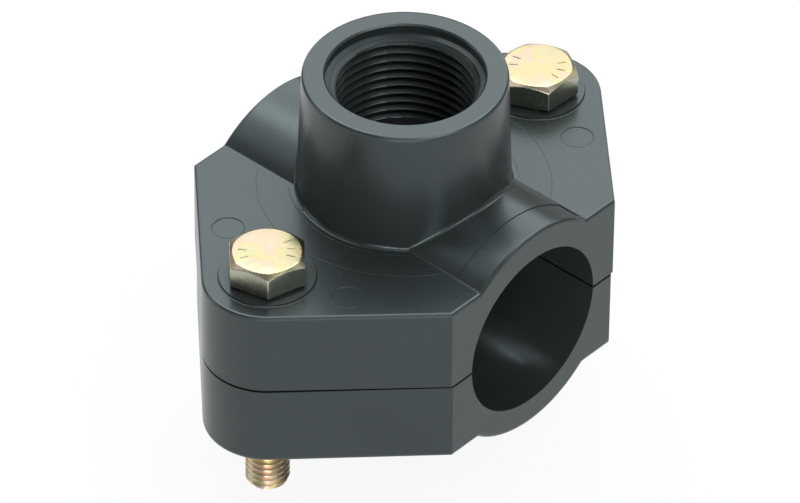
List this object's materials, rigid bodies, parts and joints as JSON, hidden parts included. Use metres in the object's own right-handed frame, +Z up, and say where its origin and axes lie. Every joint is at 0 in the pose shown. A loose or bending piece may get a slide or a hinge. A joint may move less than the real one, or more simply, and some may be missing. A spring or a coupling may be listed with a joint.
{
  "type": "tapping saddle",
  "caption": "Bolted two-part plastic clamp saddle with a threaded outlet boss, for branching off a round pipe.",
  "frame": {"origin": "where the pipe axis crosses the outlet axis, in the middle of the pipe seat", "axes": "+Y along the pipe, +Z up along the outlet, +X towards the right bolt"},
  "size_m": [0.0936, 0.061, 0.0701],
  "materials": {
    "saddle_plastic": "semi-gloss moulded dark grey",
    "seal_rubber": "matte black",
    "zinc_steel": "yellow-passivated zinc"
  },
  "bodies": {
    "upper": {"upper_saddle": "saddle_plastic", "outlet_seal": "seal_rubber"},
    "lower": {"lower_saddle": "saddle_plastic", "nut_left": "zinc_steel", "nut_right": "zinc_steel"},
    "bolt_left": {"bolt_left": "zinc_steel"},
    "bolt_right": {"bolt_right": "zinc_steel"}
  },
  "joints": [
    {"name": "bolt_left_turn", "type": "hinge", "parent": "upper", "child": "bolt_left", "pos_m": [-0.0353, 0, 0], "axis": [0, 0, 1], "range_deg": [0, 3600]},
    {"name": "bolt_right_turn", "type": "hinge", "parent": "upper", "child": "bolt_right", "pos_m": [0.0353, 0, 0], "axis": [0, 0, 1], "range_deg": [0, 3600]},
    {"name": "clamp_open", "type": "slide", "parent": "upper", "child": "lower", "axis": [0, 0, -1], "range_m": [0, 0.0125]}
  ],
  "couplings": [
    {"joint": "bolt_left_turn", "follows": "clamp_open", "rad_per_m": 5026.5},
    {"joint": "bolt_right_turn", "follows": "clamp_open", "rad_per_m": 5026.5}
  ]
}
